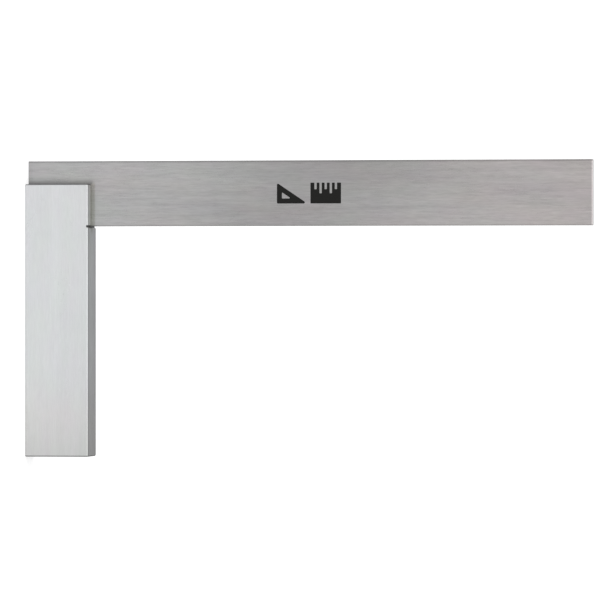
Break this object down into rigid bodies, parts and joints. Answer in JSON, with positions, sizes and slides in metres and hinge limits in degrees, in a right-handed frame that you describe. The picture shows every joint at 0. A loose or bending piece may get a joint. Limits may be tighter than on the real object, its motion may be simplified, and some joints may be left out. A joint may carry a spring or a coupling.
{
  "type": "engineer's square",
  "caption": "Engineer's square: a ground steel blade pinned in the slotted end of a thicker steel stock, with a burr relief groove at the inner corner.",
  "frame": {"origin": "middle of the footprint when the square stands on its stock's outer face, on the middle plane of stock and blade", "axes": "+X along the stock from the blade to the stock's free end, +Y through the thickness, +Z along the blade to its tip"},
  "size_m": [0.1168, 0.016, 0.2253],
  "materials": {
    "blade_steel": "ground along its length, satin",
    "stock_steel": "ground along its length, bright satin",
    "rivet_steel": "ground flush with the stock",
    "etched_mark": "black etched mark, matte"
  },
  "bodies": {
    "root": {"blade": "blade_steel", "stock": "stock_steel", "rivet_outer": "rivet_steel", "rivet_middle": "rivet_steel", "rivet_inner": "rivet_steel"}
  },
  "joints": []
}
